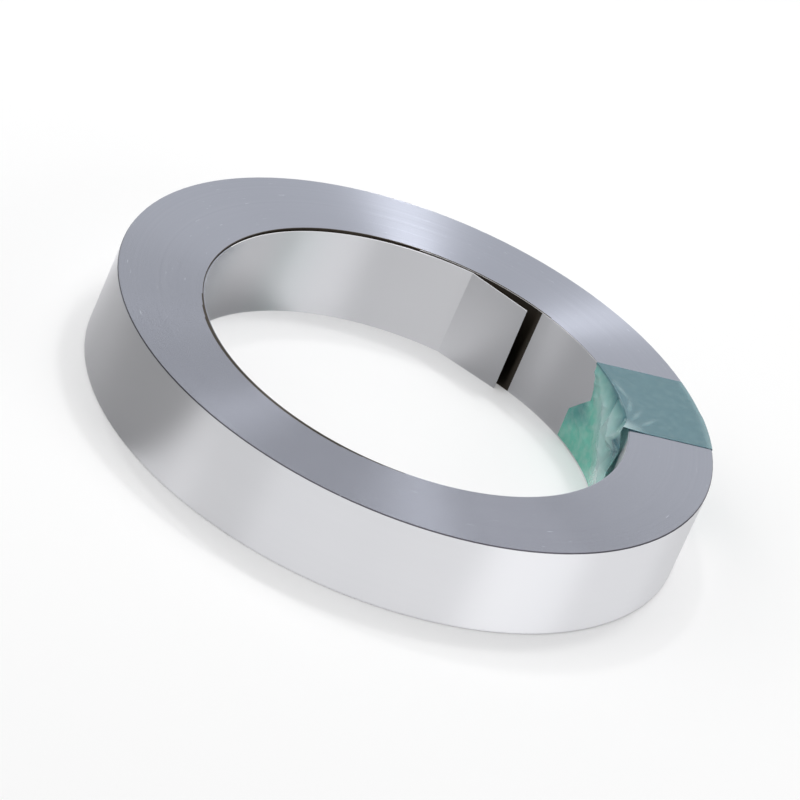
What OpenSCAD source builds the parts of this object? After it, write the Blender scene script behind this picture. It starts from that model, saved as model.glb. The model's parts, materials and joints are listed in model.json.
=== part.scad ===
// A coil of nickel strip, lying on one end.
// The strip is wound tight on itself, so the coil is a plain ring with a round bore.
// A short length of adhesive tape is folded over the ring, down the bore and down the outside,
// and keeps the turns from springing open.
// The origin is on the coil's axis, in the plane of the end that it lies on.

/* [Strip] */
// Width of the strip, which is the height of the coil
strip_w = 20; // [5:0.5:50]
// Thickness of the strip
strip_t = 0.2; // [0.1:0.01:0.4]

/* [Coil] */
// Diameter of the bore, inside the innermost turn
bore_d = 91; // [60:0.5:150]
// Turns of strip, one on the other, from the bore to the outside
turns = 92; // [20:1:200]

/* [Tape] */
// Width of the tape
tape_w = 24; // [6:0.5:40]
// Thickness of the tape with its adhesive
tape_t = 0.06; // [0.04:0.01:0.15]
// Direction from the axis to the middle of the tape on the end face, in degrees from +X
tape_angle = 26; // [0:1:359]
// Turn of the tape away from the radius there, in degrees
tape_skew = -4; // [-15:1:15]

/* [Hidden] */

bore_r = bore_d / 2;
coil_r = bore_r + turns * strip_t;
middle_r = (bore_r + coil_r) / 2;

tape_inner_r = bore_r - tape_t;
tape_outer_r = coil_r + tape_t;
tape_top_z = strip_w + tape_t;

nickel_grey = [0.74, 0.75, 0.77];
tape_green = [0.25, 0.56, 0.52];

// Half of the coil's section, as wound: one strip width high and all the turns thick
module coil_section() {
    translate([bore_r, 0])
        square([coil_r - bore_r, strip_w]);
}

// The film's section where it is folded over the coil: two legs and the bridge across the end face
module folded_film_section() {
    polygon([
        [tape_inner_r, 0],
        [bore_r, 0],
        [bore_r, strip_w],
        [coil_r, strip_w],
        [coil_r, 0],
        [tape_outer_r, 0],
        [tape_outer_r, tape_top_z],
        [tape_inner_r, tape_top_z],
    ]);
}

// The run of the tape seen from above: a straight band that crosses the face at tape_angle.
// It starts beside the axis and ends clear of the outside, so it cuts both legs at full width.
module tape_run(height) {
    rotate(tape_angle)
        translate([middle_r, 0])
            rotate(tape_skew)
                translate([-middle_r, -tape_w / 2])
                    cube([middle_r + coil_r, tape_w, height]);
}

module strip_coil() {
    color(nickel_grey)
        rotate_extrude($fn = 180)
            coil_section();
}

module tape_band() {
    color(tape_green)
        intersection() {
            rotate_extrude($fn = 180)
                folded_film_section();
            tape_run(tape_top_z);
        }
}

strip_coil();
tape_band();
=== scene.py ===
"""A coil of nickel strip lying on a pale studio floor, kept wound by a band of green tape.

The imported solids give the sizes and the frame. This script models what they leave out: the turns of
the strip on both ends, the strip's two free ends, and the crumpled film of the tape.
"""

import json
import logging
import math
import random
from dataclasses import dataclass
from enum import Enum
from functools import partial
from typing import Any, Callable

import bmesh
import bpy
from bmesh.types import BMVert
from bpy.types import Material, MeshPolygon, NodeSocket, NodeTree, Object
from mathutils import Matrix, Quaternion, Vector
from mathutils.geometry import delaunay_2d_cdt, intersect_point_tri_2d
from mathutils.interpolate import poly_3d_calc

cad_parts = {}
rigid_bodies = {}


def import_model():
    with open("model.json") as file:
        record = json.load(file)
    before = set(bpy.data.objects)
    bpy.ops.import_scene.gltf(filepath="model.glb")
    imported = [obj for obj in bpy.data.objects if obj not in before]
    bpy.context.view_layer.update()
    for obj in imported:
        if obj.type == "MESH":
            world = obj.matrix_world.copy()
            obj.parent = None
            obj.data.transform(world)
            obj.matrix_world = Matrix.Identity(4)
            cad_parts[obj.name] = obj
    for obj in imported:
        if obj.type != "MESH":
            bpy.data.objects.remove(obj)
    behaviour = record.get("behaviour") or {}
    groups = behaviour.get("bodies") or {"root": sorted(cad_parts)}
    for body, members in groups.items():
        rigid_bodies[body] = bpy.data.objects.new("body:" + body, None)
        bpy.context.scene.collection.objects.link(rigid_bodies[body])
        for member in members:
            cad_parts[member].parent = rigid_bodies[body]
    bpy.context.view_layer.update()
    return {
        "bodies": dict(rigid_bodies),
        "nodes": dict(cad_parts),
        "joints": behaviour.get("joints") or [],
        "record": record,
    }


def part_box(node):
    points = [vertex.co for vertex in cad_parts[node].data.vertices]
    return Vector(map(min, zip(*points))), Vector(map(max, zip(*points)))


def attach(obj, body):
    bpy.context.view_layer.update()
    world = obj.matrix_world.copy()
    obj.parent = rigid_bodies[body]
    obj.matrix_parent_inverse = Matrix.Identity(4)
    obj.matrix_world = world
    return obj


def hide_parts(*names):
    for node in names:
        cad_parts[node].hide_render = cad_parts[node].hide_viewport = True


LOG = logging.getLogger("nickel_strip")
MM = 0.001
UP = Vector((0.0, 0.0, 1.0))
# A vector times this keeps only its level part
LEVEL_PART = (1.0, 1.0, 0.0)
WHITE = "#ffffff"
# Vertices this close become one
MERGE = 0.002 * MM
# A face whose normal rises or falls more than this lies level
LEVEL_NORMAL = 0.5
# Arcs on the coil's ends are measured at this radius, the middle of its wall
MEAN_R_MM = 55.0

Source = bpy.types.Node | NodeSocket
Adder = Callable[..., bpy.types.Node]
Pairs = tuple[tuple[float, float], ...]


class Node(Enum):
    """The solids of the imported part."""

    COIL = "strip_coil"
    TAPE = "tape_band"


class Slot(Enum):
    """The record's material slots."""

    NICKEL = "nickel"
    TAPE = "tape"


def linear(hex_colour: str) -> tuple[float, float, float, float]:
    """Turn an sRGB hex colour to linear light.

    Args:
        hex_colour: The colour as "#rrggbb".

    Returns:
        Red, green, blue and a full alpha, each from 0 to 1.
    """
    channels = [int(hex_colour[i : i + 2], 16) / 255 for i in (1, 3, 5)]
    # The sRGB curve has a straight foot, and is a power above it
    light = [c / 12.92 if c <= 0.04045 else ((c + 0.055) / 1.055) ** 2.4 for c in channels]
    return (light[0], light[1], light[2], 1.0)


def add_node(
    tree: NodeTree, kind: str, inputs: dict[str | int, Any] | None = None, **settings: Any
) -> bpy.types.Node:
    """Add a node with its settings, its values and its links.

    Args:
        tree: The node tree that gets the node.
        kind: The node's type name, without its first word.
        inputs: A value or a source for each named or numbered input in use. A node as a source gives
            its first output in use, and a text is a hex colour.
        settings: Properties of the node itself.

    Returns:
        The new node.
    """
    node = tree.nodes.new("ShaderNode" + kind)
    for name, value in settings.items():
        setattr(node, name, value)
    used = [socket for socket in node.inputs if socket.enabled]
    for key, value in (inputs or {}).items():
        socket = used[key] if isinstance(key, int) else next(s for s in used if s.name == key)
        if isinstance(value, bpy.types.Node):
            value = next(output for output in value.outputs if output.enabled)
        if isinstance(value, NodeSocket):
            tree.links.new(value, socket)
        else:
            socket.default_value = linear(value) if isinstance(value, str) else value
    return node


def new_material(name: str) -> tuple[Material, Adder]:
    """Make an empty node material.

    Args:
        name: The material's name.

    Returns:
        The material, and what adds a node to it.
    """
    material = bpy.data.materials.new(name)
    material.use_nodes = True
    material.node_tree.nodes.clear()
    return material, partial(add_node, material.node_tree)


@dataclass(frozen=True)
class Polar:
    """A point's place round the coil's axis, as sources in a node tree."""

    level: Source
    radius_mm: Source
    arc_mm: Source
    height_mm: Source


def find_polar(add: Adder) -> Polar:
    """Work out a point's radius, arc and height in millimetres from its Object coordinates.

    Args:
        add: What adds a node to the material.

    Returns:
        The sources, with the level vector from the axis to the point.
    """
    coordinates = add("TexCoord").outputs["Object"]
    place = add("VectorMath", {0: coordinates, "Scale": 1 / MM}, operation="SCALE")
    axes = add("SeparateXYZ", {0: place}).outputs
    level = add("VectorMath", {0: place, 1: LEVEL_PART}, operation="MULTIPLY")
    radius = add("VectorMath", {0: level}, operation="LENGTH")
    angle = add("Math", {0: axes["Y"], 1: axes["X"]}, operation="ARCTAN2")
    arc = add("Math", {0: angle, 1: MEAN_R_MM}, operation="MULTIPLY")
    return Polar(level, radius, arc, axes["Z"])


@dataclass(frozen=True)
class RolledNickel:
    """The strip's two wide faces: nickel, cold rolled.

    Polished rolls leave it near a mirror. Fine lines along the strip blur what it mirrors up and down
    the wall, so the eye sees soft upright bands of light and shade.
    """

    name: str = "nickel_rolled_bright"
    colour: str = "#ededf0"
    faint_colour: str = "#e3e4e8"
    roughness: tuple[float, float] = (0.36, 0.42)
    line_drawing: float = 0.98
    # Real rolling lines are too fine to show, so they are drawn many times as wide
    line_mm: float = 0.35
    line_detail: float = 3.0
    line_height_mm: float = 0.0012
    line_strength: float = 0.5
    # The wound strip isn't quite round: long shallow waves make its bands wander
    wave_mm: float = 26.0
    wave_detail: float = 1.0
    wave_height_mm: float = 0.09

    def make(self) -> Material:
        """Make the material.

        Returns:
            The material.
        """
        material, add = new_material(self.name)
        polar = find_polar(add)
        across = add("CombineXYZ", {"X": polar.height_mm, "Y": polar.radius_mm})
        lines = add("TexNoise", {"Vector": across, "Scale": 1 / self.line_mm, "Detail": self.line_detail})
        waves = add("TexNoise", {
            "Vector": polar.level,
            "Scale": 1 / self.wave_mm,
            "Detail": self.wave_detail,
        })
        colour = add("Mix", {"Factor": waves, "A": self.faint_colour, "B": self.colour}, data_type="RGBA")
        low, high = self.roughness
        roughness = add("MapRange", {"Value": lines, "To Min": low, "To Max": high})
        wavy = add("Bump", {"Distance": self.wave_height_mm * MM, "Height": waves})
        lined = add("Bump", {
            "Strength": self.line_strength,
            "Distance": self.line_height_mm * MM,
            "Height": lines,
            "Normal": wavy,
        })
        shader = add("BsdfPrincipled", {
            "Base Color": colour,
            "Metallic": 1.0,
            "Roughness": roughness,
            "Anisotropic": self.line_drawing,
            "Tangent": add("CombineXYZ", {"Z": 1.0}),
            "Normal": lined,
        })
        add("OutputMaterial", {"Surface": shader})
        return material


@dataclass(frozen=True)
class SlitEdges:
    """The strip's slit edges, wound side by side into the coil's ends.

    Slitting leaves a fine satin edge, darker than the faces. It spreads light across the turns, so
    the eye sees broad soft streaks from the bore to the rim, over fine rings.
    """

    name: str = "nickel_slit_edges"
    colour: str = "#abaeb9"
    dark_colour: str = "#9b9fab"
    rub_colour: str = "#c8cdd5"
    roughness: tuple[float, float] = (0.26, 0.31)
    line_drawing: float = 0.95
    # A turn is too thin to show, so its lines are drawn three turns wide
    turn_mm: float = 0.6
    # Broader rings come from groups of turns
    band_mm: float = 4.0
    band_detail: float = 1.0
    band_share: float = 0.4
    # Handling leaves short bright rubs along the turns: their width and length
    rub_mm: tuple[float, float] = (0.45, 3.5)
    rub_from: float = 0.70
    rub_fade: float = 0.08

    def make(self) -> Material:
        """Make the material.

        Returns:
            The material.
        """
        material, add = new_material(self.name)
        polar = find_polar(add)
        across = add("CombineXYZ", {"X": polar.radius_mm})
        turns = add("TexNoise", {"Vector": across, "Scale": 1 / self.turn_mm})
        bands = add("TexNoise", {"Vector": across, "Scale": 1 / self.band_mm, "Detail": self.band_detail})
        tone = add("Mix", {"Factor": self.band_share, "A": turns, "B": bands}, data_type="FLOAT")
        ringed = add("Mix", {"Factor": tone, "A": self.dark_colour, "B": self.colour}, data_type="RGBA")
        unrolled = add("CombineXYZ", {"X": polar.radius_mm, "Y": polar.arc_mm})
        per_rub = (1 / self.rub_mm[0], 1 / self.rub_mm[1], 1.0)
        rub_place = add("VectorMath", {0: unrolled, 1: per_rub}, operation="MULTIPLY")
        rub_noise = add("TexNoise", {"Vector": rub_place, "Scale": 1.0})
        rub_full = self.rub_from + self.rub_fade
        rubs = add("MapRange", {"Value": rub_noise, "From Min": self.rub_from, "From Max": rub_full})
        rubbed = add("Mix", {"Factor": rubs, "A": ringed, "B": self.rub_colour}, data_type="RGBA")
        low, high = self.roughness
        roughness = add("MapRange", {"Value": tone, "To Min": low, "To Max": high})
        shader = add("BsdfPrincipled", {
            "Base Color": rubbed,
            "Metallic": 1.0,
            "Roughness": roughness,
            "Anisotropic": self.line_drawing,
            "Tangent": polar.level,
        })
        add("OutputMaterial", {"Surface": shader})
        return material


@dataclass(frozen=True)
class TapeFilm:
    """Adhesive tape: clear green polyester film, cast and stretched, so glossy with fine wrinkles.

    The metal shows through it, tinted, where it is stuck, and its folds mirror the studio in small flat
    facets.
    The stuck film in the bore carries a brighter painted green light, with the plain green as painted
    shade on shaded facets. A pale painted sheen lies on lifted film, most on lit facets and folds.
    """

    name: str = "tape_green_polyester"
    colour: str = "#5a97a5"
    # Painted light: a brighter green for the stuck film in the bore
    lit_green_colour: str = "#98f4e0"
    # Painted sheen: pale where the film is lifted, most where its facets and folds are lit
    sheen_colour: str = "#e2ffff"
    pale_colour: str = "#e2fff8"
    roughness: float = 0.1
    refraction: float = 1.64
    clear: float = 0.55
    wrinkle_mm: float = 2.2
    wrinkle_height_mm: float = 0.06
    wrinkle_strength: float = 0.35
    # Small patches have let go of the metal and look pale, most of all in the deep green
    patch_mm: float = 1.8
    patch_edges: tuple[float, float] = (0.42, 0.68)
    patch_share: float = 0.4
    flat_patch_share: float = 0.06

    def make(self) -> Material:
        """Make the material.

        Returns:
            The material.
        """
        material, add = new_material(self.name)
        place = add("TexCoord").outputs["Object"]
        lit_green = add("Attribute", attribute_name="lit_green").outputs["Fac"]
        painted_sheen = add("Attribute", attribute_name="painted_sheen").outputs["Fac"]
        # Painted light and shade: the brighter green where the painted green light is high, the plain
        # green where it is low
        stuck = add("Mix", {"Factor": lit_green, "A": self.colour, "B": self.lit_green_colour}, data_type="RGBA")
        patches = add("TexNoise", {"Vector": place, "Scale": 1 / (self.patch_mm * MM)})
        most = add("MapRange", {
            "Value": lit_green,
            "To Min": self.flat_patch_share,
            "To Max": self.patch_share,
        })
        low, high = self.patch_edges
        lifted = add("MapRange", {"Value": patches, "From Min": low, "From Max": high, "To Max": most})
        gripped = add("Mix", {"Factor": lifted, "A": stuck, "B": self.pale_colour}, data_type="RGBA")
        # Painted sheen: the pale colour where the painted sheen is high
        colour = add("Mix", {"Factor": painted_sheen, "A": gripped, "B": self.sheen_colour}, data_type="RGBA")
        cells = {"Vector": place, "Scale": 1 / (self.wrinkle_mm * MM)}
        wrinkles = add("TexVoronoi", cells, feature="DISTANCE_TO_EDGE")
        wrinkled = add("Bump", {
            "Strength": self.wrinkle_strength,
            "Distance": self.wrinkle_height_mm * MM,
            "Height": wrinkles,
        })
        shader = add("BsdfPrincipled", {
            "Base Color": colour,
            "Roughness": self.roughness,
            "IOR": self.refraction,
            "Transmission Weight": self.clear,
            "Normal": wrinkled,
        })
        add("OutputMaterial", {"Surface": shader})
        return material


def pick_none() -> None:
    """Leave edit mode and select nothing."""
    if bpy.context.mode != "OBJECT":
        bpy.ops.object.mode_set(mode="OBJECT")
    bpy.ops.object.select_all(action="DESELECT")


def pick_alone(piece: Object) -> None:
    """Leave edit mode, and make one object the active one and the only one selected.

    Args:
        piece: The object.
    """
    pick_none()
    piece.select_set(True)
    bpy.context.view_layer.objects.active = piece


def open_mesh(piece: Object) -> None:
    """Open one object alone in edit mode, with all its vertices selected.

    Args:
        piece: The object.
    """
    pick_alone(piece)
    bpy.ops.object.mode_set(mode="EDIT")
    bpy.ops.mesh.select_mode(type="VERT")
    bpy.ops.mesh.select_all(action="SELECT")


def select_where(piece: Object, wanted: Callable[[BMVert], bool]) -> None:
    """Select the vertices of an open mesh that pass a test, and what lies between them.

    Args:
        piece: The object that is open in edit mode.
        wanted: The test, given each vertex.
    """
    mesh = bmesh.from_edit_mesh(piece.data)
    for part in (mesh.verts, mesh.edges, mesh.faces):
        for element in part:
            element.select_set(False)
    for vertex in mesh.verts:
        if wanted(vertex):
            vertex.select_set(True)
    mesh.select_flush(True)
    bmesh.update_edit_mesh(piece.data)


def close_mesh(sharp_deg: float) -> None:
    """Merge the open mesh's doubles, turn its faces outwards, leave edit mode and smooth it.

    Args:
        sharp_deg: Edges sharper than this stay sharp.
    """
    bpy.ops.mesh.select_all(action="SELECT")
    bpy.ops.mesh.remove_doubles(threshold=MERGE)
    bpy.ops.mesh.normals_make_consistent(inside=False)
    bpy.ops.object.mode_set(mode="OBJECT")
    bpy.ops.object.shade_smooth_by_angle(angle=math.radians(sharp_deg))


def radial(angle: float) -> Vector:
    """Return the level direction at an angle from +X, in radians."""
    return Vector((math.cos(angle), math.sin(angle), 0.0))


def bearing(point: Vector) -> float:
    """Return the angle of a point round the axis from +X, in degrees from -180 to 180."""
    return math.degrees(math.atan2(point.y, point.x))


def read_line(points: Pairs, place: float) -> float:
    """Read a line through points at one place, level beyond its ends.

    Args:
        points: The line's points, in rising order of place.
        place: Where to read it.

    Returns:
        The line's value there.
    """
    if place <= points[0][0]:
        return points[0][1]
    for (first, low), (second, high) in zip(points, points[1:]):
        if place <= second:
            return low + (high - low) * (place - first) / (second - first)
    return points[-1][1]


def strip_section(
    name: str, radii: tuple[float, float], heights: tuple[float, float], angle: float = 0.0
) -> Object:
    """Add a plane that stands across the strip, as its section.

    Args:
        name: The new object's name.
        radii: Radii of the section's inner and outer side.
        heights: Heights of its lower and upper side.
        angle: Where it stands round the axis, in radians.

    Returns:
        The object, with its place in its mesh.
    """
    pick_none()
    inner, outer = radii
    low, high = heights
    bpy.ops.mesh.primitive_plane_add(
        size=1.0,
        location=radial(angle) * (inner + outer) / 2 + UP * (low + high) / 2,
        rotation=(math.pi / 2, 0.0, angle),
    )
    piece = bpy.context.active_object
    piece.name = piece.data.name = name
    piece.scale = (outer - inner, high - low, 1.0)
    bpy.ops.object.transform_apply(location=True, rotation=True, scale=True)
    return piece


@dataclass(frozen=True)
class CoilSizes:
    """The coil's driving sizes, in metres."""

    bore_r: float
    coil_r: float
    width: float
    strip_t: float = 0.2 * MM

    @classmethod
    def from_frame(cls, frame: dict[str, Any]) -> "CoilSizes":
        """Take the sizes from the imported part.


        Returns:
            The sizes.
        """
        low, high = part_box(Node.COIL.value)
        bore = next(m for m in frame["record"]["mounts"] if m["kind"] == "bore")
        return cls(bore_r=bore["dims"]["r_mm"] * MM, coil_r=(high[0] - low[0]) / 2, width=high[2])


@dataclass(frozen=True)
class StripFinishes:
    """The finishes of the strip's faces and edges."""

    faces: Material
    edges: Material
    painted_shade_edges: Material
    painted_highlight_edges: Material
    painted_shade_faces: Material
    painted_half_shade_faces: Material

    @classmethod
    def make(cls) -> "StripFinishes":
        """Make the finishes.

        Returns:
            The finishes.
        """
        # Painted shade: a dull dark edge for the outermost turn and the gaps between turns, read as a
        # thin dark line
        dark_edge_shade = SlitEdges("nickel_slit_edges_painted_shade", colour="#7e7d85", dark_colour="#6a6971")
        # Painted highlight: the innermost turn's free edge, painted near white as a thin bright line
        bright = SlitEdges("nickel_slit_edges_painted_highlight", colour="#f2f2f4", dark_colour="#e6e6ea")
        # Painted shade: the gap behind the innermost turn and the stripe beside its end are painted near
        # black
        dark_face_shade = RolledNickel("nickel_rolled_painted_shade", colour="#59524a", faint_colour="#4a443e")
        # Painted half shade dulls that turn's back, in the gap, to a warm grey
        grey_face_shade = RolledNickel("nickel_rolled_painted_half_shade", colour="#8f8a83", faint_colour="#7f7a73")
        finishes = (RolledNickel(), SlitEdges(), dark_edge_shade, bright, dark_face_shade, grey_face_shade)
        return cls(*(finish.make() for finish in finishes))


@dataclass
class WoundStrip:
    """The strip: the wound turns, the innermost turn with its sprung end, and the outermost turn."""

    sizes: CoilSizes
    finishes: StripFinishes
    steps: int = 128
    seed: int = 7
    # Slitting leaves each edge slanted, with its highest point at this share of the strip's thickness
    slant: float = 0.02 * MM
    slant_share: float = 0.96
    # The wound turns lie a little below the end, and groups of them lower still
    settle: float = 0.02 * MM
    stagger: float = 0.02 * MM
    stagger_groups: int = 17
    stagger_margin: float = 0.1
    turns_sharp_deg: float = 20.0
    # A steep face this near the ends is a gap between two turns, which gets painted shade
    gap_share: float = 0.98
    # The innermost turn starts behind its own sprung end and runs clockwise: degrees, and how much
    # tighter than the bore it is there
    start_deg: float = 101.0
    bends: Pairs = ((266.0, 0.0), (52.0, 1.9 * MM), (55.0, -2.2 * MM))
    tail: float = 14.5 * MM
    tail_bend_deg: float = 19.5
    tail_twist: float = 0.4 * MM
    tail_steps: int = 6
    # It is a little low and a little thin, so that it lies clear of the next turn
    inner_inset: float = 0.12 * MM
    inner_t_share: float = 0.98
    inner_sharp_deg: float = 15.0
    # Painted shade of the gap round it, a dark line on the end: degrees, then its width
    gap_line: Pairs = (
        (60.0, 0.0),
        (62.0, 0.3 * MM),
        (190.0, 0.3 * MM),
        (205.0, 0.9 * MM),
        (260.0, 0.9 * MM),
        (286.0, 0.0),
    )
    # Where the painted shade stripe beside the sprung end starts on the wall, and how near that wall it
    # is
    stripe_deg: float = 64.0
    wall_play: float = 0.15 * MM
    # Its edges carry a painted highlight between these two angles
    highlight_deg: tuple[float, float] = (34.0, 165.0)
    # The outermost turn ends under the tape, a little in from the ends
    outer_end_deg: float = 25.0
    outer_inset: float = 0.3 * MM
    outer_sharp_deg: float = 30.0

    def __post_init__(self) -> None:
        """Work out where the wound turns start and stop, how many they are, and the strip's middle."""
        s = self.sizes
        self.first_r: float = s.bore_r + s.strip_t
        self.last_r: float = s.coil_r - s.strip_t
        self.turns: int = round((self.last_r - self.first_r) / s.strip_t)
        self.middle: float = s.width / 2

    def build(self) -> list[Object]:
        """Model all the pieces of the strip and dress them.

        Returns:
            The wound turns first, then the innermost and the outermost turn.
        """
        turns = self.wound_turns()
        inner = self.innermost_turn()
        outer = self.outermost_turn()
        self.dress(turns, self.turns_finish)
        self.dress(inner, self.inner_finish)
        # The outermost turn's edges get painted shade, a thin dark line round the rim
        self.dress(outer, lambda polygon: self.plain_finish(polygon, self.finishes.painted_shade_edges))
        return [turns, inner, outer]

    def wound_turns(self) -> Object:
        """Spin the coil's section, with every turn's edge on both ends.

        Returns:
            The turns between the innermost and the outermost one.
        """
        heights = (0.0, self.sizes.width - self.settle)
        piece = strip_section("wound_turns", (self.first_r, self.last_r), heights)
        open_mesh(piece)
        bpy.ops.mesh.delete(type="ONLY_FACE")
        for upper in (True, False):
            select_where(piece, lambda v: self.is_upper(v) == upper)
            bpy.ops.mesh.subdivide(number_cuts=self.turns - 1)
            bpy.ops.mesh.subdivide(number_cuts=1)
        self.slant_edges(piece)
        self.stagger_turns(piece)
        bpy.ops.mesh.select_all(action="SELECT")
        self.sweep(math.tau, Vector())
        close_mesh(self.turns_sharp_deg)
        return piece

    def is_upper(self, vertex: BMVert) -> bool:
        """Return whether a vertex lies in the strip's upper half."""
        return vertex.co.z > self.middle

    def half_turns(self, vertex: BMVert) -> int:
        """Count the half turns from the first wound turn's inner side out to a vertex."""
        return round((vertex.co.x - self.first_r) / self.sizes.strip_t * 2)

    def slant_edges(self, piece: Object) -> None:
        """Slant each turn's edge: its inner side sinks, and its highest point moves outwards.

        Args:
            piece: The section, open in edit mode.
        """
        last = 2 * self.turns
        for upper in (True, False):
            select_where(
                piece,
                lambda v: self.half_turns(v) % 2 == 0
                and self.half_turns(v) < last
                and self.is_upper(v) == upper,
            )
            bpy.ops.transform.translate(value=UP * (-self.slant if upper else self.slant))
        # The outer corner of the upper end is as low as the outermost turn
        select_where(piece, lambda v: self.half_turns(v) == last and self.is_upper(v))
        bpy.ops.transform.translate(value=UP * -self.outer_inset)
        select_where(piece, lambda v: self.half_turns(v) % 2 == 1)
        from_middle = self.slant_share - 1 / 2
        bpy.ops.transform.translate(value=(from_middle * self.sizes.strip_t, 0.0, 0.0))

    def stagger_turns(self, piece: Object) -> None:
        """Let groups of turns settle lower than their neighbours on the upper end.

        Args:
            piece: The section, open in edit mode.
        """
        draw = random.Random(self.seed)
        pitch = self.sizes.strip_t
        cuts = sorted(draw.sample(range(1, self.turns), self.stagger_groups - 1))
        for first, last in zip([0, *cuts], [*cuts, self.turns]):
            low = self.first_r + (first - self.stagger_margin) * pitch
            high = self.first_r + (last - self.stagger_margin) * pitch
            drop = draw.uniform(0.0, self.stagger)
            select_where(piece, lambda v: self.is_upper(v) and low < v.co.x < high)
            bpy.ops.transform.translate(value=UP * -drop)

    def innermost_turn(self) -> Object:
        """Sweep the innermost turn: along the wall, off it on a tighter circle, then straight.

        Returns:
            The turn with its sprung end.
        """
        s = self.sizes
        angle = math.radians(self.start_deg)
        radii = (s.bore_r, s.bore_r + s.strip_t * self.inner_t_share)
        piece = strip_section("innermost_turn", radii, (0.0, s.width - self.inner_inset), angle)
        open_mesh(piece)
        centre = Vector()
        tightness = 0.0
        for degrees, tighter in self.bends:
            centre = centre + radial(angle) * (tighter - tightness)
            tightness = tighter
            self.sweep(math.radians(degrees), centre)
            angle -= math.radians(degrees)
        heading = angle - math.pi / 2 - math.radians(self.tail_bend_deg)
        step = radial(heading) * self.tail / self.tail_steps
        lean = radial(heading - math.pi / 2) * self.tail_twist / self.tail_steps
        for _ in range(self.tail_steps):
            bpy.ops.mesh.extrude_region_move(TRANSFORM_OT_translate={"value": step})
            self.twist_section(piece, lean)
        close_mesh(self.inner_sharp_deg)
        return piece

    def sweep(self, angle: float, centre: Vector) -> None:
        """Spin the selected section clockwise, seen from above.

        Args:
            angle: How far, in radians.
            centre: The arc's centre.
        """
        steps = max(1, round(angle / math.tau * self.steps))
        bpy.ops.mesh.spin(steps=steps, angle=angle, center=centre, axis=UP)

    def twist_section(self, piece: Object, lean: Vector) -> None:
        """Lean the selected section: its upper side moves one way and its lower side the other.

        Args:
            piece: The object that is open in edit mode.
            lean: How far the upper side moves.
        """
        mesh = bmesh.from_edit_mesh(piece.data)
        for vertex in mesh.verts:
            if vertex.select:
                vertex.co += lean if self.is_upper(vertex) else -lean
        bmesh.update_edit_mesh(piece.data)

    def outermost_turn(self) -> Object:
        """Sweep the outermost turn, which rises out of the wound turns to its end.

        Returns:
            The turn with its end.
        """
        s = self.sizes
        end = math.radians(self.outer_end_deg)
        heights = (self.outer_inset, s.width - self.outer_inset)
        piece = strip_section("outermost_turn", (self.last_r, s.coil_r), heights, end)
        open_mesh(piece)
        # Two half circles with shifted centres lose one strip thickness over the turn
        shift = radial(end) * s.strip_t / 4
        for centre in (shift, -shift):
            self.sweep(math.pi, centre)
        close_mesh(self.outer_sharp_deg)
        return piece

    def dress(self, piece: Object, choose: Callable[[MeshPolygon], Material]) -> None:
        """Give each face of a piece its finish.

        Args:
            piece: One of the strip's pieces.
            choose: What gives the finish of a face.
        """
        materials = piece.data.materials
        for polygon in piece.data.polygons:
            finish = choose(polygon)
            if finish.name not in materials:
                materials.append(finish)
            polygon.material_index = materials.find(finish.name)

    def plain_finish(self, polygon: MeshPolygon, edges: Material) -> Material:
        """Choose between the wide faces, the slit edges and painted shade on the steep faces between two
        turns.

        Args:
            polygon: A face of the strip.
            edges: The finish of the slit edges.

        Returns:
            The finish.
        """
        if abs(polygon.normal.z) > LEVEL_NORMAL:
            return edges
        near_end = abs(polygon.center.z - self.middle) > self.middle * self.gap_share
        return self.finishes.painted_shade_edges if near_end else self.finishes.faces

    def turns_finish(self, polygon: MeshPolygon) -> Material:
        """Choose a wound turn's finish: painted shade fills the gap before the innermost turn.

        Args:
            polygon: A face of the wound turns.

        Returns:
            The finish.
        """
        s = self.sizes
        out = polygon.center.xy
        gap = read_line(self.gap_line, bearing(out) % 360)
        on_wall = abs(polygon.normal.z) < LEVEL_NORMAL and out.length < s.bore_r + 2 * s.strip_t
        if on_wall or out.length < s.bore_r + gap:
            return self.finishes.painted_shade_faces
        return self.plain_finish(polygon, self.finishes.edges)

    def inner_finish(self, polygon: MeshPolygon) -> Material:
        """Choose the innermost turn's finish: a painted highlight on its edge, painted half shade on its
        back, painted shade on the wall behind its end.

        Args:
            polygon: A face of the innermost turn.

        Returns:
            The finish.
        """
        out = polygon.center.xy
        angle = bearing(out)
        on_wall = out.length > self.sizes.bore_r - self.wall_play
        if abs(polygon.normal.z) > LEVEL_NORMAL:
            lit = self.highlight_deg[0] < angle < self.highlight_deg[1]
            return self.finishes.painted_highlight_edges if lit else self.finishes.edges
        # Painted shade: the stripe on the wall beside the sprung end
        if on_wall and self.stripe_deg < angle <= self.start_deg:
            return self.finishes.painted_shade_faces
        # Painted half shade on the turn's back
        if polygon.normal.xy.dot(out) > 0:
            return self.finishes.painted_half_shade_faces
        return self.plain_finish(polygon, self.finishes.edges)


class Stretch(Enum):
    """The film's stretches, from its foot in the bore over the coil to its foot outside."""

    BORE = "bore leg"
    BORE_FOLD = "fold over the bore's rim"
    END = "coil's end"
    RIM_FOLD = "fold over the outer rim"
    OUTSIDE = "outer leg"


@dataclass(frozen=True)
class Crease:
    """A short ridge in the film: a tent along a line, with ends that run out flat."""

    middle: Vector
    direction: Vector
    half_length: float
    half_width: float
    height: float = 0.0

    def share(self, point: Vector) -> float:
        """Return how much of the ridge's height a point of the flat film has.

        Args:
            point: The point, in the creases' own flat plane.

        Returns:
            1 on the ridge's middle, and 0 beyond its ends and sides.
        """
        offset = point - self.middle
        along = abs(offset.dot(self.direction)) / self.half_length
        across = abs(offset.dot(self.direction.orthogonal())) / self.half_width
        return max(0.0, 1.0 - along) * max(0.0, 1.0 - across)


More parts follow.
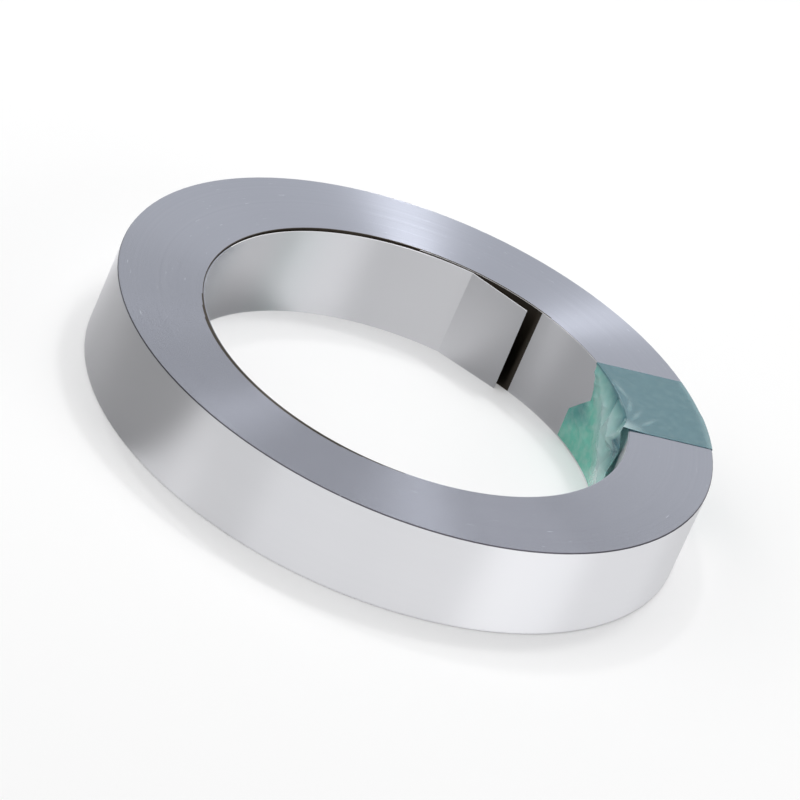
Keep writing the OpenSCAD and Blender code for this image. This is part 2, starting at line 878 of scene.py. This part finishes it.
def wrinkles_at(*places: tuple[float, float, float]) -> tuple[Crease, ...]:
    """Make equal wrinkles for the flat stretches of the film.

    Args:
        places: For each, millimetres across the film and from the rim, and its slant in radians.

    Returns:
        The wrinkles, in millimetres.
    """
    half_length = 4.0
    half_width = 0.7
    return tuple(
        Crease(Vector((across, out)), radial(slant).xy, half_length, half_width)
        for across, out, slant in places
    )


@dataclass(frozen=True)
class FilmPoint:
    """A corner of the crumpled film's facets.

    Its place is in degrees from the band's middle and in millimetres of depth below the rim. Its
    height is in millimetres off the bore's wall. Its painted sheen and its painted green light go from 0
    to 1, and both are low on shaded facets, as painted shade.
    """

    degrees: float
    depth: float
    height: float
    painted_sheen: float
    lit_green: float = 1.0


@dataclass(frozen=True)
class FilmSpot:
    """Where a point of the film lies, and the painted sheen and painted green light there."""

    point: Vector
    painted_sheen: float
    lit_green: float = 0.0


@dataclass
class TapeBand:
    """The tape: one film folded over the coil, stuck flat on its end and crumpled in the bore."""

    sizes: CoilSizes
    film: Material
    # The film steps down past the end of the outermost turn
    strip_end_deg: float
    end_step_deg: float = 2.0
    end_sink_share: float = 0.9
    width: float = 24 * MM
    thickness: float = 0.055 * MM
    clearance: float = 0.02 * MM
    angle_deg: float = 26.0
    skew_deg: float = -4.0
    fold_r: float = 0.22 * MM
    # Painted sheen on the fold over the bore's rim
    fold_sheen: float = 0.12
    foot: float = 0.35 * MM
    sharp_deg: float = 18.0
    columns: int = 72
    rows: tuple[tuple[Stretch, int], ...] = (
        (Stretch.BORE, 60),
        (Stretch.BORE_FOLD, 6),
        (Stretch.END, 40),
        (Stretch.RIM_FOLD, 6),
        (Stretch.OUTSIDE, 24),
    )
    # The bore leg's left side wanders: millimetres of depth, then millimetres along the wall
    left_side: Pairs = ((0, 0), (5, -2.8), (7.5, -3.2), (10, -0.8), (13, 1.8), (20, 1.6))
    # Its right side widens in the same way
    right_side: Pairs = ((0, 0), (4, -1.5), (20, -2.5))
    # Higher keeps the wandering closer to the sides
    side_power: float = 1.5
    # The crumpled leg's facets, by rows from the rim down
    points: tuple[FilmPoint, ...] = (
        # The rim
        FilmPoint(-24, 0, 0, 0, 0),
        FilmPoint(-8, 0, 0, 0, 0),
        FilmPoint(1, 0, 0, 0, 0),
        FilmPoint(8, 0, 0, 0.1, 0.3),
        FilmPoint(15, 0, 0, 0.2, 0.6),
        FilmPoint(24, 0, 0, 0),
        # A tight crease along it, in painted shade
        FilmPoint(-15, 0.7, 0.2, 0, 0),
        FilmPoint(-8, 1.2, 0.2, 0, 0),
        FilmPoint(1, 1.2, 0.2, 0, 0.1),
        FilmPoint(8, 1.2, 0.1, 0.2, 0.5),
        # The lit facet under the rim, with a painted sheen, and the ridge that runs to it from the right
        # corner
        FilmPoint(9, 3.5, 0.6, 0.6),
        FilmPoint(4, 4.4, 1.2, 0.9),
        FilmPoint(-3, 3.6, 1.8, 1.0),
        FilmPoint(-14.5, 1.2, 0.8, 0.8),
        FilmPoint(-12, 3.6, 2.0, 1.0),
        FilmPoint(-8, 6.0, 2.4, 1.0),
        FilmPoint(0, 8.0, 1.4, 0.9),
        # The shaded side of that ridge, down to a valley, in painted shade: little sheen and the plain
        # green
        FilmPoint(-15, 1.8, 0.6, 0, 0),
        FilmPoint(-12, 4.2, 1.7, 0, 0),
        FilmPoint(-8, 6.6, 2.1, 0.2, 0.3),
        FilmPoint(-17, 4.5, 0.2, 0, 0),
        FilmPoint(-11.5, 7.0, 0.2, 0, 0),
        FilmPoint(-7, 9.2, 0.4, 0.45, 0.6),
        # The lower ridge
        FilmPoint(-17, 9.5, 0.9, 0.3, 0.5),
        FilmPoint(-10.5, 11.5, 1.6, 0.95),
        FilmPoint(-4.5, 12, 1.2, 0.85),
        FilmPoint(-17, 14, 0.4, 0.3),
        FilmPoint(-11, 16, 0.9, 0.7),
        # The border where the film meets the wall, and the stuck film beyond it
        FilmPoint(8.5, 6.2, 0.3, 0.35),
        FilmPoint(3.5, 10.2, 0.4, 0.35),
        FilmPoint(-2, 14, 0.4, 0.35),
        FilmPoint(-7, 18, 0.4, 0.35),
        FilmPoint(14, 5, 0, 0, 0.5),
        FilmPoint(14, 11, 0, 0, 0.3),
        FilmPoint(10.5, 8.5, 0, 0),
        FilmPoint(5.5, 12, 0, 0),
        FilmPoint(0.5, 16, 0, 0),
        FilmPoint(-4, 20, 0, 0),
        FilmPoint(-24, 21, 0, 0.2),
        FilmPoint(24, 21, 0, 0),
    )
    facet_tolerance: float = 0.001
    # Small creases on those facets, in millimetres and radians. They run out flat over these depths
    # below the rim and above the foot
    seed: int = 11
    creases: int = 34
    crease_margin: float = 1.5
    crease_slant: tuple[float, float] = (-1.2, 0.4)
    crease_half_length: tuple[float, float] = (1.5, 4.5)
    crease_half_width: tuple[float, float] = (0.6, 1.3)
    crease_height: tuple[float, float] = (0.12, 0.32)
    # Painted sheen along each small crease
    crease_sheen: float = 0.15
    crease_fade: tuple[float, float] = (1.0, 6.0)
    # The rim's right corner stands up as a small beak, with a painted pale sheen
    beak_mm: tuple[float, float, float] = (-1.3, -0.3, 0.3)
    beak_reach: float = 4.0 * MM
    beak_sheen: float = 0.8
    # Wrinkles on the coil's end and on the outer leg
    end_wrinkles: tuple[Crease, ...] = wrinkles_at(
        (-6.0, 2.0, 0.55), (-2.5, 1.3, 0.25), (-8.0, 4.2, 0.8), (3.0, 1.0, -0.2)
    )
    leg_wrinkles: tuple[Crease, ...] = wrinkles_at(
        (-5.5, 2.5, 1.1), (3.0, 3.5, 1.9), (8.0, 9.0, 0.8), (-8.0, 13.0, 2.3), (1.0, 15.5, 0.3)
    )
    wrinkle_height: float = 0.12 * MM
    # Painted sheen along the outer leg's wrinkles
    leg_sheen: float = 0.12
    # A painted pale sheen lies on the fold over the outer rim and on the end's wrinkles, and ramps up
    # over this distance on the end before the rim
    rim_sheen_reach: float = 1.5 * MM
    end_and_rim_sheen: float = 0.35

    def __post_init__(self) -> None:
        """Work out the film's own levels, its facets and its small creases."""
        gap = self.clearance + self.thickness / 2
        self.top: float = self.sizes.width + self.thickness / 2
        self.inside: float = self.sizes.bore_r - gap
        self.outside: float = self.sizes.coil_r + gap
        self.leg: float = self.top - self.fold_r - self.foot
        self.facets: list[list[FilmPoint]] = self.span_facets()
        self.small_creases: list[Crease] = self.scatter_creases()

    def build(self) -> Object:
        """Fold a flat grid over the coil, give it its thickness and dress it.

        Returns:
            The film.
        """
        pick_none()
        rows = sum(count for _, count in self.rows)
        bpy.ops.mesh.primitive_grid_add(x_subdivisions=rows, y_subdivisions=self.columns, size=1.0)
        piece = bpy.context.active_object
        piece.name = piece.data.name = "tape_film"
        self.fold(piece, rows)
        solid = piece.modifiers.new("film", "SOLIDIFY")
        solid.thickness = self.thickness
        solid.offset = 0.0
        pick_alone(piece)
        bpy.ops.object.modifier_apply(modifier=solid.name)
        bpy.ops.object.shade_smooth_by_angle(angle=math.radians(self.sharp_deg))
        piece.data.materials.append(self.film)
        return piece

    def fold(self, piece: Object, rows: int) -> None:
        """Lay the flat grid's points on the coil, and mark the painted sheen and painted green light at
        each.

        Args:
            piece: The flat grid, one unit on a side and centred on the origin.
            rows: How many rows it has.
        """
        for name in ("painted_sheen", "lit_green"):
            piece.data.attributes.new(name, "FLOAT", "POINT")
        painted_sheen = piece.data.attributes["painted_sheen"].data
        lit_green = piece.data.attributes["lit_green"].data
        corner = self.on_band(self.sizes.bore_r, -self.width / 2) + UP * self.sizes.width
        beak = Vector(self.beak_mm) * MM
        for vertex in piece.data.vertices:
            stretch, share = self.station((vertex.co.x + 1 / 2) * rows)
            spot = self.lay(stretch, share, vertex.co.y * self.width)
            near = max(0.0, 1 - (spot.point - corner).length / self.beak_reach)
            vertex.co = spot.point + beak * near
            painted_sheen[vertex.index].value = max(spot.painted_sheen, self.beak_sheen * near)
            lit_green[vertex.index].value = spot.lit_green

    def station(self, row: float) -> tuple[Stretch, float]:
        """Return the stretch that a row lies on, and its share of that stretch.

        Args:
            row: The row's number, from the film's foot in the bore.

        Returns:
            The stretch, and the share from 0 to 1.
        """
        for stretch, count in self.rows:
            if row <= count:
                return stretch, row / count
            row -= count
        return Stretch.OUTSIDE, 1.0

    def scatter_creases(self) -> list[Crease]:
        """Draw the small creases of the bore leg.

        Returns:
            The creases, on the leg's own plane: millimetres along the wall and of depth.
        """
        draw = random.Random(self.seed)
        half = self.width / MM / 2
        depths = (self.crease_margin, self.sizes.width / MM - self.crease_margin)
        creases = []
        for _ in range(self.creases):
            slant = draw.uniform(*self.crease_slant)
            crease = Crease(
                middle=Vector((draw.uniform(-half, half), draw.uniform(*depths))),
                direction=Vector((math.cos(slant), -math.sin(slant))),
                half_length=draw.uniform(*self.crease_half_length),
                half_width=draw.uniform(*self.crease_half_width),
                height=draw.uniform(*self.crease_height),
            )
            creases.append(crease)
        return creases

    def span_facets(self) -> list[list[FilmPoint]]:
        """Span flat facets between the film's points.

        Returns:
            Three points for each facet.
        """
        places = [Vector((point.degrees, point.depth)) for point in self.points]
        _, _, faces, origins, _, _ = delaunay_2d_cdt(places, [], [], 0, self.facet_tolerance)
        return [[self.points[origins[corner][0]] for corner in face] for face in faces]

    def read_facets(self, degrees: float, depth: float) -> tuple[float, float, float]:
        """Read the crumpled film at one place.

        Args:
            degrees: The place, in degrees from the band's middle.
            depth: The place, in millimetres of depth.

        Returns:
            The height off the wall in millimetres, the painted sheen and the painted green light.
        """
        place = Vector((degrees, depth, 0.0))
        for facet in self.facets:
            places = [Vector((point.degrees, point.depth, 0.0)) for point in facet]
            if intersect_point_tri_2d(place.xy, *(corner.xy for corner in places)):
                read = Vector()
                for part, point in zip(poly_3d_calc(places, place), facet):
                    read += part * Vector((point.height, point.painted_sheen, point.lit_green))
                return tuple(read)
        return 0.0, 0.0, 1.0

    def on_band(self, radius: float, across: float) -> Vector:
        """Return where a line of the band crosses a circle round the axis.

        Args:
            radius: The circle's radius.
            across: The line's place across the band.

        Returns:
            The level point.
        """
        s = self.sizes
        run = math.radians(self.angle_deg + self.skew_deg)
        forward = radial(run)
        middle = radial(math.radians(self.angle_deg)) * (s.bore_r + s.coil_r) / 2
        start = middle + radial(run + math.pi / 2) * across
        along = start.dot(forward)
        reach = math.sqrt(along * along - start.length_squared + radius * radius) - along
        return start + forward * reach

    def stepped_outside(self, across: float) -> float:
        """Return the outer leg's radius, which steps down past the end of the outermost turn.

        Args:
            across: A place across the film.

        Returns:
            The radius there.
        """
        angle = bearing(self.on_band(self.outside, across))
        past_end = (angle - self.strip_end_deg) / self.end_step_deg
        return self.outside - self.sizes.strip_t * self.end_sink_share * min(1.0, max(0.0, past_end))

    def lay(self, stretch: Stretch, share: float, across: float) -> FilmSpot:
        """Lay a point of the film on the coil.

        Args:
            stretch: The stretch of the film.
            share: The point's share of the stretch, on the way from the foot in the bore.
            across: Its place across the film.

        Returns:
            The point's spot.
        """
        if stretch is Stretch.BORE:
            return self.lay_in_bore(share, across)
        if stretch is Stretch.END:
            return self.lay_on_end(share, across)
        # A fold is a quarter turn: how far it has left its first side, and is from its second
        turn = share * math.pi / 2
        gone = self.fold_r * (1 - math.cos(turn))
        to_go = self.fold_r * (1 - math.sin(turn))
        if stretch is Stretch.BORE_FOLD:
            point = self.on_band(self.inside + gone, across) + UP * (self.top - to_go)
            return FilmSpot(point, self.fold_sheen)
        radius = self.stepped_outside(across)
        if stretch is Stretch.RIM_FOLD:
            point = self.on_band(radius - to_go, across) + UP * (self.top - gone)
            return FilmSpot(point, self.end_and_rim_sheen)
        drop = self.fold_r + self.leg * share
        flat = Vector((across, drop)) / MM
        wrinkle = max(crease.share(flat) for crease in self.leg_wrinkles)
        point = self.on_band(radius + self.wrinkle_height * wrinkle, across) + UP * (self.top - drop)
        return FilmSpot(point, self.leg_sheen * wrinkle)

    def lay_on_end(self, share: float, across: float) -> FilmSpot:
        """Lay a point of the stretch that crosses the coil's end.

        Args:
            share: The point's share of the stretch, from the bore to the outer rim.
            across: Its place across the film.

        Returns:
            The point's spot.
        """
        near = self.on_band(self.inside + self.fold_r, across)
        far = self.on_band(self.outside - self.fold_r, across)
        length = (far - near).length
        flat = Vector((across, share * length)) / MM
        wrinkle = max(crease.share(flat) for crease in self.end_wrinkles)
        to_rim = max(0.0, 1 - (1 - share) * length / self.rim_sheen_reach)
        point = near.lerp(far, share) + UP * (self.top + self.wrinkle_height * wrinkle)
        return FilmSpot(point, self.end_and_rim_sheen * max(wrinkle, to_rim))

    def lay_in_bore(self, share: float, across: float) -> FilmSpot:
        """Lay a point of the crumpled bore leg.

        Args:
            share: The point's share of the leg, from its foot to the rim.
            across: Its place across the film.

        Returns:
            The point's spot.
        """
        depth = self.fold_r + self.leg * (1 - share)
        below = depth / MM
        left = max(0.0, 1 / 2 + across / self.width) ** self.side_power
        right = max(0.0, 1 / 2 - across / self.width) ** self.side_power
        shift = read_line(self.left_side, below) * left + read_line(self.right_side, below) * right
        rim = self.on_band(self.inside, across)
        angle = math.atan2(rim.y, rim.x) + shift * MM / self.inside
        fold, painted_sheen, lit_green = self.read_facets(math.degrees(angle) - self.angle_deg, below)
        flat = Vector((across / MM + shift, below))
        under_rim, over_foot = self.crease_fade
        above = max(0.0, self.sizes.width / MM - below)
        fade = min(1.0, below / under_rim, above / over_foot)
        for crease in self.small_creases:
            part = crease.share(flat) * fade
            fold += crease.height * part
            painted_sheen += self.crease_sheen * part
        point = radial(angle) * (self.inside - fold * MM) + UP * (self.top - depth)
        return FilmSpot(point, min(1.0, painted_sheen), lit_green)


@dataclass(frozen=True)
class Card:
    """A toned card beside the stage, or a patch of painted shade on its floor, which the metal mirrors
    and the camera doesn't see.

    It faces the coil from one side and spans some degrees to both sides of that, with soft ends. Its
    top is the sine of the angle that it reaches up to, and a card on the floor has none.
    """

    facing_deg: float
    half_deg: float
    soft_deg: float
    colour: str
    top: float = 0.0


@dataclass(frozen=True)
class Lamp:
    """A soft lamp: its watts, its width and height, where it hangs, and whether the metal mirrors it."""

    name: str
    power: float
    size: tuple[float, float]
    place: tuple[float, float, float]
    mirrored: bool = True


@dataclass
class Studio:
    """The pale floor, the soft lamps, the white surroundings and the camera."""

    sizes: CoilSizes
    # The camera's distance, height angle, roll and lens
    distance: float = 1.474
    elevation_deg: float = 28.3
    roll_deg: float = 23.9
    lens_mm: float = 330.0
    cards: tuple[Card, ...] = (
        Card(172.0, 32.0, 6.0, "#1c1d1e", top=0.42),
        Card(228.0, 12.0, 3.0, "#26282a", top=0.45),
        Card(58.0, 20.0, 8.0, "#3c3e42", top=0.45),
    )
    card_fade: float = 0.15
    lamps: tuple[Lamp, ...] = (
        Lamp("large softbox", 3.5, (0.7, 0.7), (0.05, 0.35, 1.05), mirrored=False),
        Lamp("left fill", 3.0, (0.9, 0.9), (-0.8, -0.3, 0.6), mirrored=False),
        Lamp("back lamp", 1.5, (0.14, 0.08), (0.128, 0.372, 0.973)),
        Lamp("side lamp", 1.0, (0.08, 0.08), (-0.29, 0.425, 0.93)),
        Lamp("front softbox", 1.75, (0.7, 0.5), (0.93, -0.375, 0.45)),
        Lamp("left strip", 0.5, (0.12, 0.4), (-0.80, 0.54, 0.5)),
    )
    # The white around the stage is full where it is seen or mirrored, and this bright as light
    world_light: float = 0.42
    floor_size: float = 12.0
    floor_depth: float = 0.05 * MM
    floor_colour: str = "#f8f8f8"
    # How much of the floor's white the camera sees without shadow, and how bright the metal mirrors it
    floor_seen: float = 0.2
    floor_mirrored: float = 0.84
    # The mirrored floor darkens this close to the coil, between these two degrees of openness
    contact: float = 6 * MM
    openness: tuple[float, float] = (0.3, 0.6)
    # In the metal only, the floor carries painted shade: a dark patch on one side of the coil, dark
    # patches inside the bore, and a shade over the whole bore
    floor_shade_patch: Card = Card(194.0, 32.0, 5.0, "#8a8a8a")
    bore_shade_patches: tuple[Card, ...] = (
        Card(152.0, 22.0, 6.0, "#4a4a4a"),
        Card(56.0, 25.0, 5.0, "#868686"),
    )
    bore_shade: float = 0.63
    shade_edge: float = 2 * MM

    def __post_init__(self) -> None:
        """Aim the camera and the lamps at the coil's middle."""
        self.aim: Vector = UP * self.sizes.width / 2

    def build(self) -> None:
        """Make everything that isn't part of the object."""
        self.floor()
        self.world()
        self.light()
        self.camera()

    def floor(self) -> None:
        """Lay the floor."""
        pick_none()
        bpy.ops.mesh.primitive_plane_add(size=self.floor_size, location=UP * -self.floor_depth)
        floor = bpy.context.active_object
        floor.name = floor.data.name = "floor"
        bpy.ops.object.transform_apply(location=True, rotation=True, scale=True)
        floor.data.materials.append(self.floor_finish())

    def floor_finish(self) -> Material:
        """Make the floor's matt white board, which keeps the coil's shadow and is mirrored bright.

        Returns:
            The material.
        """
        material, add = new_material("studio_white_floor")
        rays = add("LightPath").outputs
        lit = add("BsdfDiffuse", {"Color": self.floor_colour})
        seen = add("Math", {0: rays["Is Camera Ray"], 1: self.floor_seen}, operation="MULTIPLY")
        open_above = add("AmbientOcclusion", {"Distance": self.contact}).outputs["AO"]
        low, high = self.openness
        bright = add("MapRange", {
            "Value": open_above,
            "From Min": low,
            "From Max": high,
            "To Max": self.floor_mirrored,
        })
        glowing = add("Math", {0: rays["Is Glossy Ray"], 1: bright, 2: seen}, operation="MULTIPLY_ADD")
        tone = self.mirrored_tone(add)
        colour = add("Mix", {"Factor": rays["Is Camera Ray"], "A": tone, "B": WHITE}, data_type="RGBA")
        glow = add("Emission", {"Color": colour})
        add("OutputMaterial", {"Surface": add("MixShader", {0: glowing, 1: lit, 2: glow})})
        return material

    def mirrored_tone(self, add: Adder) -> bpy.types.Node:
        """Work out the floor's tone in the metal: white, darkened by painted shade from the floor's
        patches and in the bore.

        Args:
            add: What adds a node to the floor's material.

        Returns:
            The node that gives the tone.
        """
        bore_mm = self.sizes.bore_r / MM
        polar = find_polar(add)
        level = add("VectorMath", {0: polar.level}, operation="NORMALIZE")
        bored = add("Math", {0: polar.radius_mm, 1: bore_mm}, operation="LESS_THAN")
        tone = WHITE
        for card in (self.floor_shade_patch, *self.bore_shade_patches):
            share = self.beside(add, level, card)
            if card in self.bore_shade_patches:
                share = add("Math", {0: share, 1: bored}, operation="MULTIPLY")
            tone = add("Mix", {"Factor": share, "A": tone, "B": card.colour}, data_type="RGBA")
        shade = add("MapRange", {
            "Value": polar.radius_mm,
            "From Min": bore_mm - self.shade_edge / MM,
            "From Max": bore_mm,
            "To Min": self.bore_shade,
        })
        return add("VectorMath", {0: tone, "Scale": shade}, operation="SCALE")

    def beside(self, add: Adder, level: bpy.types.Node, card: Card) -> bpy.types.Node:
        """Work out how much a level direction faces a card.

        Args:
            add: What adds a node.
            level: The node that gives the level direction, of unit length.
            card: The card.

        Returns:
            The node that gives a share from 0, past the card's sides, to 1.
        """
        middle = tuple(radial(math.radians(card.facing_deg)))
        facing = add("VectorMath", {0: level, 1: middle}, operation="DOT_PRODUCT")
        none = math.cos(math.radians(card.half_deg + card.soft_deg))
        full = math.cos(math.radians(card.half_deg - card.soft_deg))
        edges = {"Value": facing, "From Min": none, "From Max": full}
        return add("MapRange", edges, interpolation_type="SMOOTHSTEP")

    def world(self) -> None:
        """Surround the scene with soft white, and with toned cards that the camera doesn't see."""
        world = bpy.data.worlds.new("studio")
        bpy.context.scene.world = world
        world.use_nodes = True
        world.node_tree.nodes.clear()
        add = partial(add_node, world.node_tree)
        rays = add("LightPath").outputs
        to_camera = rays["Is Camera Ray"]
        seen = to_camera
        for ray in ("Is Glossy Ray", "Is Transmission Ray"):
            seen = add("Math", {0: seen, 1: rays[ray]}, operation="MAXIMUM")
        strength = add("MapRange", {"Value": seen, "To Min": self.world_light})
        way = add("TexCoord").outputs["Generated"]
        height = add("SeparateXYZ", {0: way}).outputs["Z"]
        flat = add("VectorMath", {0: way, 1: LEVEL_PART}, operation="MULTIPLY")
        level = add("VectorMath", {0: flat}, operation="NORMALIZE")
        tone = WHITE
        for card in self.cards:
            edges = {"Value": height, "From Min": card.top, "From Max": card.top - self.card_fade}
            below = add("MapRange", edges, interpolation_type="SMOOTHSTEP")
            share = add("Math", {0: self.beside(add, level, card), 1: below}, operation="MULTIPLY")
            unseen = add("Math", {0: share, 1: to_camera}, operation="SUBTRACT", use_clamp=True)
            tone = add("Mix", {"Factor": unseen, "A": tone, "B": card.colour}, data_type="RGBA")
        sky = add("Background", {"Color": tone, "Strength": strength})
        add("OutputWorld", {"Surface": sky})

    def light(self) -> None:
        """Hang the soft lamps."""
        for lamp in self.lamps:
            data = bpy.data.lights.new(lamp.name, "AREA")
            data.shape = "RECTANGLE"
            data.size, data.size_y = lamp.size
            data.energy = lamp.power
            holder = bpy.data.objects.new(lamp.name, data)
            bpy.context.scene.collection.objects.link(holder)
            holder.visible_glossy = lamp.mirrored
            holder.location = lamp.place
            holder.rotation_mode = "QUATERNION"
            holder.rotation_quaternion = (self.aim - Vector(lamp.place)).to_track_quat("-Z", "Y")

    def camera(self) -> None:
        """Set the camera at the photograph's viewing angle."""
        lift = math.radians(self.elevation_deg)
        back = Vector((0.0, -math.cos(lift), math.sin(lift)))
        data = bpy.data.cameras.new("camera")
        data.lens = self.lens_mm
        holder = bpy.data.objects.new("camera", data)
        bpy.context.scene.collection.objects.link(holder)
        holder.location = self.aim + back * self.distance
        holder.rotation_mode = "QUATERNION"
        level = (-back).to_track_quat("-Z", "Y")
        holder.rotation_quaternion = level @ Quaternion(UP, math.radians(self.roll_deg))
        bpy.context.scene.camera = holder


def seat(piece: Object, node: Node | None = None) -> None:
    """Ride a finished piece on the part's one body and report it.

    Args:
        piece: The piece.
        node: The solid that it stands for, if any.
    """
    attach(piece, "root")
    if node:
        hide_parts(node.value)
    LOG.info("%s: %d faces", piece.name, len(piece.data.polygons))


def main() -> None:
    """Build the strip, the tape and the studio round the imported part."""
    logging.basicConfig(level=logging.INFO, format="%(name)s: %(message)s")
    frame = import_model()
    bpy.context.scene.view_settings.view_transform = "Standard"

    sizes = CoilSizes.from_frame(frame)
    strip = WoundStrip(sizes, StripFinishes.make())
    turns, *free_turns = strip.build()
    seat(turns, Node.COIL)
    for piece in free_turns:
        seat(piece)

    tape = TapeBand(sizes, TapeFilm().make(), strip.outer_end_deg)
    seat(tape.build(), Node.TAPE)

    Studio(sizes).build()


if __name__ == "__main__":
    main()
